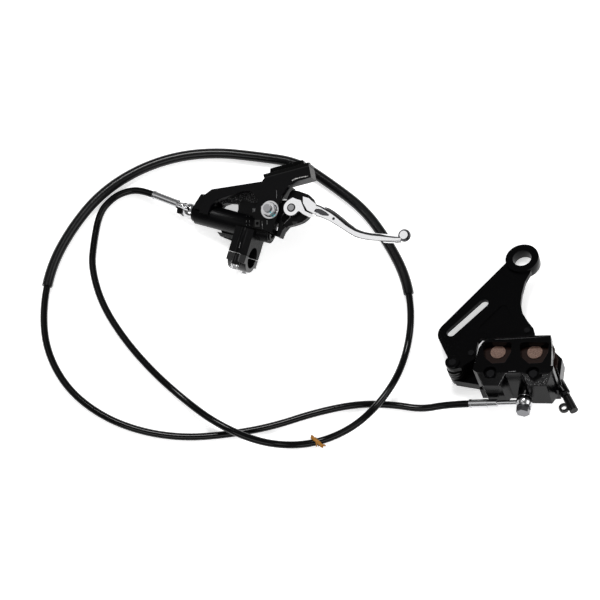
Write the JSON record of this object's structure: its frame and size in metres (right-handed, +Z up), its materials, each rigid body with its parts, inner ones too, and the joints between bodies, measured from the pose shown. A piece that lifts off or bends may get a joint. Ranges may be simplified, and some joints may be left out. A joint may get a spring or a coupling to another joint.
{
  "type": "rear brake assembly",
  "caption": "Hydraulic rear disc brake: bar-clamped lever and master cylinder with reservoir, sleeved hose, floating caliper with pads and a slotted axle bracket.",
  "frame": {"origin": "centre of the rigid pieces' footprint on the floor they rest on", "axes": "+X from the lever group towards the caliper, +Z up; the set lies on its side as it came to rest"},
  "size_m": [0.5458, 0.332, 0.0885],
  "materials": {
    "cast_black": "satin black paint over fine casting grain",
    "powder_black": "satin black powder coat",
    "satin_black_plastic": "satin black",
    "black_rubber": "matte black",
    "hose_rubber": "gloss black",
    "sleeve_rubber": "satin black",
    "bolt_steel": "bright",
    "zinc_steel": "bright zinc plate",
    "black_steel": "black oxide",
    "fitting_steel": "polished",
    "washer_metal": "satin",
    "spring_steel": "bright",
    "piston_alloy": "satin",
    "piston_steel": "polished",
    "polished_alloy": "polished with a dark bevel",
    "pad_steel": "copper brown",
    "pad_friction": "matte brown-grey",
    "pad_plug": "grainy pinkish grey",
    "ochre_tie": "satin ochre"
  },
  "bodies": {
    "root": {"master_body": "cast_black", "clamp_cap": "cast_black", "clamp_bolts": "bolt_steel", "reservoir_lid": "satin_black_plastic", "reservoir_diaphragm": "black_rubber", "lid_screws": "black_steel", "return_spring": "spring_steel", "dust_boot": "black_rubber", "pivot_bolt": "bolt_steel", "pivot_nut": "zinc_steel", "slide_boot": "black_rubber", "caliper_body": "powder_black", "hose_fitting_master": "fitting_steel", "banjo_bolt_master": "black_steel", "crush_washers_master": "washer_metal", "hose_fitting_caliper": "fitting_steel", "banjo_bolt_caliper": "black_steel", "crush_washers_caliper": "washer_metal", "outer_pad_backplate": "pad_steel", "outer_pad_lining": "pad_friction", "pad_discs": "pad_plug", "pad_pins": "black_steel", "bleed_screw": "zinc_steel", "bleed_cap": "black_rubber", "brake_hose": "hose_rubber", "hose_sleeve": "sleeve_rubber", "twist_tie": "ochre_tie"},
    "lever": {"lever_carrier": "cast_black", "fold_pin": "bolt_steel"},
    "adjuster": {"reach_adjuster": "bolt_steel"},
    "blade": {"lever_blade": "polished_alloy"},
    "piston": {"master_piston": "piston_alloy", "piston_cup": "black_rubber"},
    "pads": {"caliper_piston_left": "piston_steel", "caliper_piston_right": "piston_steel", "inner_pad_backplate": "pad_steel", "inner_pad_lining": "pad_friction"},
    "bracket": {"axle_bracket": "powder_black", "bracket_rivets": "zinc_steel", "slide_pin": "black_steel"}
  },
  "joints": [
    {"name": "lever_squeeze", "type": "hinge", "parent": "root", "child": "lever", "pos_m": [-0.0984, 0.08431, 0.04057], "axis": [0.3112, 0.1192, -0.9429], "range_deg": [0, 16], "stiffness_Nm_per_rad": 1.2, "springref_deg": -20.05},
    {"name": "blade_fold", "type": "hinge", "parent": "lever", "child": "blade", "pos_m": [-0.08006, 0.08485, 0.05253], "axis": [-0.3112, -0.1192, 0.9429], "range_deg": [0, 45]},
    {"name": "adjuster_turn", "type": "hinge", "parent": "lever", "child": "adjuster", "pos_m": [-0.08193, 0.10083, 0.04693], "axis": [0.9062, -0.3361, 0.2566], "range_deg": [-180, 180]},
    {"name": "piston_push", "type": "slide", "parent": "root", "child": "piston", "axis": [-0.9062, 0.3361, -0.2566], "range_m": [0, 0.00666], "deforming": ["return_spring"]},
    {"name": "pads_close", "type": "slide", "parent": "root", "child": "pads", "axis": [-0.3043, 0.3353, 0.8916], "range_m": [0, 0.0009]},
    {"name": "caliper_float", "type": "slide", "parent": "root", "child": "bracket", "axis": [-0.3043, 0.3353, 0.8916], "range_m": [-0.001, 0.001]}
  ],
  "couplings": [
    {"joint": "piston_push", "follows": "lever_squeeze", "m_per_rad": 0.0235},
    {"joint": "pads_close", "follows": "lever_squeeze", "m_per_rad": 0.002938}
  ]
}
